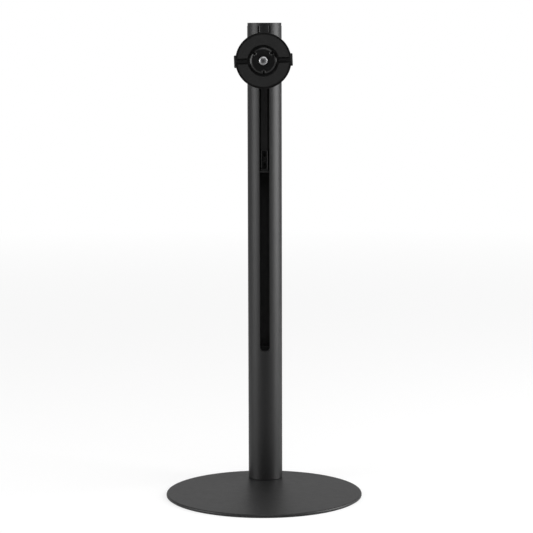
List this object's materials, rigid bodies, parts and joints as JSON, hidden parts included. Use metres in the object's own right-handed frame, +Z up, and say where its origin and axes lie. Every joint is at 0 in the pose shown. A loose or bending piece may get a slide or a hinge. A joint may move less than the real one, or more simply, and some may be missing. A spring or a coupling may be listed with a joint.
{
  "type": "portable monitor stand",
  "caption": "Desk stand for a portable monitor: round base, slotted post, and a height-adjustable, tilting, turning head with a 1/4 inch camera stud.",
  "frame": {"origin": "centre of the round base plate, on the table", "axes": "+Z up along the post, -Y to the front, where the stud points"},
  "size_m": [0.152, 0.152, 0.3654],
  "materials": {
    "charcoal_metal": "satin fine-textured charcoal powder coat",
    "black_plastic": "fine matte moulded black",
    "liner_plastic": "dull extruded black",
    "pad_rubber": "matt silicone rubber",
    "foot_rubber": "matt rubber foam sheet",
    "bright_steel": "bright nickel plate",
    "plain_steel": "plain turned steel",
    "black_steel": "black satin coat on die-cast metal",
    "bush_brass": "turned",
    "glide_plastic": "natural smooth",
    "brake_compound": "hard moulded black"
  },
  "bodies": {
    "stand": {"base_plate": "charcoal_metal", "base_pad": "foot_rubber", "base_screws": "plain_steel", "foot_plug": "plain_steel", "post_tube": "charcoal_metal", "slot_liner": "liner_plastic", "lower_stop": "liner_plastic", "lower_bumper": "foot_rubber", "upper_bumper": "foot_rubber", "top_cap": "charcoal_metal"},
    "carriage": {"carriage_core": "liner_plastic", "cover_strip": "black_plastic", "glide_pads": "glide_plastic", "leaf_spring": "plain_steel", "neck_arm": "black_steel", "neck_screws": "plain_steel"},
    "lock_slider": {"lock_slider": "black_plastic"},
    "brake_shoe": {"brake_shoe": "brake_compound"},
    "knuckle": {"tilt_fork": "black_steel", "tilt_screw": "plain_steel", "tilt_nut": "plain_steel", "tilt_washers": "bush_brass", "tilt_caps": "black_plastic", "pivot_bush": "bush_brass"},
    "head": {"head_plate": "black_plastic", "upper_pad": "pad_rubber", "lower_pad": "pad_rubber", "spanner_ring": "black_steel", "camera_stud": "bright_steel", "pivot_shaft": "black_steel", "pivot_washer": "bush_brass", "wave_washer": "plain_steel", "pivot_nut": "plain_steel"}
  },
  "joints": [
    {"name": "height_slide", "type": "slide", "parent": "stand", "child": "carriage", "axis": [0, 0, 1], "range_m": [-0.138, 0]},
    {"name": "height_lock", "type": "slide", "parent": "carriage", "child": "lock_slider", "axis": [0, 0, 1], "range_m": [-0.0035, 0.0035]},
    {"name": "brake_press", "type": "slide", "parent": "carriage", "child": "brake_shoe", "axis": [0, 1, 0], "range_m": [-0.00025, 0.00025]},
    {"name": "head_tilt", "type": "hinge", "parent": "carriage", "child": "knuckle", "pos_m": [0, 0.0305, 0.3367], "axis": [-1, 0, 0], "range_deg": [-15, 35]},
    {"name": "head_turn", "type": "hinge", "parent": "knuckle", "child": "head", "pos_m": [0, 0.0205, 0.3367], "axis": [0, 1, 0], "continuous": true}
  ],
  "couplings": [
    {"joint": "brake_press", "follows": "height_lock", "ratio": 0.07}
  ]
}
